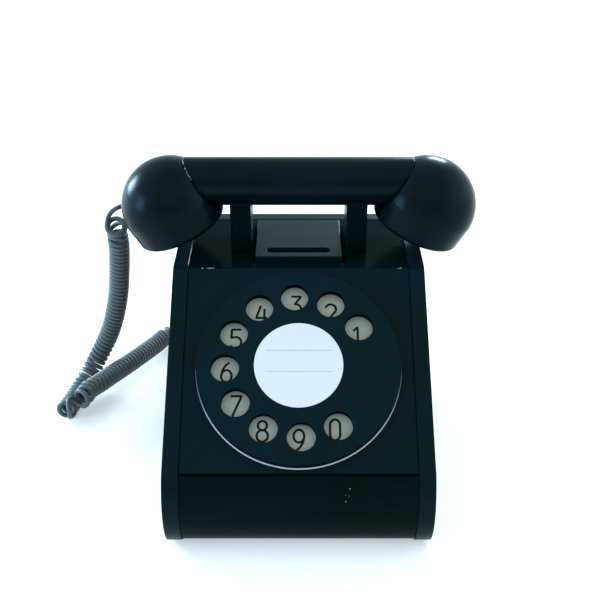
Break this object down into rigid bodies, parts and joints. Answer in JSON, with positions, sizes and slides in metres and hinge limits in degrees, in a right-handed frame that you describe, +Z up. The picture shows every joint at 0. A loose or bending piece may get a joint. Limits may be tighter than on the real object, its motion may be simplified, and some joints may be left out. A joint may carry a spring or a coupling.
{
  "type": "corded landline phone",
  "caption": "Wooden desk phone with a sloped rotary dial, a coin slot between its cradle posts, and a lift-off handset on a curly cord.",
  "frame": {"origin": "on the table, under the middle of the phone without its cord", "axes": "+X right, +Y back, +Z up, seen from the front"},
  "size_m": [0.2381, 0.2038, 0.1598],
  "materials": {
    "painted_wood": "satin blue-black paint, worn through in a few spots on the edges",
    "bare_wood": "plain sanded",
    "plate_paint": "pale green-grey enamel",
    "label_paper": "smooth, two thin grey rules",
    "brass": "plain turned",
    "steel": "plain",
    "felt": "matt felt",
    "rubber": "matt",
    "cord": "soft bluish grey"
  },
  "bodies": {
    "case": {"left_side_panel": "painted_wood", "right_side_panel": "painted_wood", "front_panel": "painted_wood", "front_rail": "painted_wood", "top_panel": "painted_wood", "back_panel": "painted_wood", "base_panel": "bare_wood", "corner_blocks": "bare_wood", "case_dowels": "bare_wood", "base_screws": "steel", "feet": "felt", "left_cradle_post": "painted_wood", "right_cradle_post": "painted_wood", "cradle_dowels": "bare_wood", "slot_block": "painted_wood", "number_plate": "plate_paint", "dial_bush": "brass", "case_cord_grip": "rubber", "handset_cord": "cord"},
    "dial": {"finger_wheel": "painted_wood", "dial_label": "label_paper", "dial_axle": "steel", "dial_felt_washer": "felt", "dial_washer": "steel", "dial_nut": "brass"},
    "handset": {"handset_bar": "painted_wood", "mouthpiece_cap": "painted_wood", "earpiece_cap": "painted_wood", "handset_dowels": "bare_wood", "handset_cord_grip": "rubber"}
  },
  "joints": [
    {"name": "dial_spin", "type": "hinge", "parent": "case", "child": "dial", "pos_m": [0, -0.02881, 0.07757], "axis": [0, -0.5754, 0.8179], "continuous": true},
    {"name": "handset_lift", "type": "slide", "parent": "case", "child": "handset", "axis": [0, 0, 1], "range_m": [0, 0.08]}
  ]
}
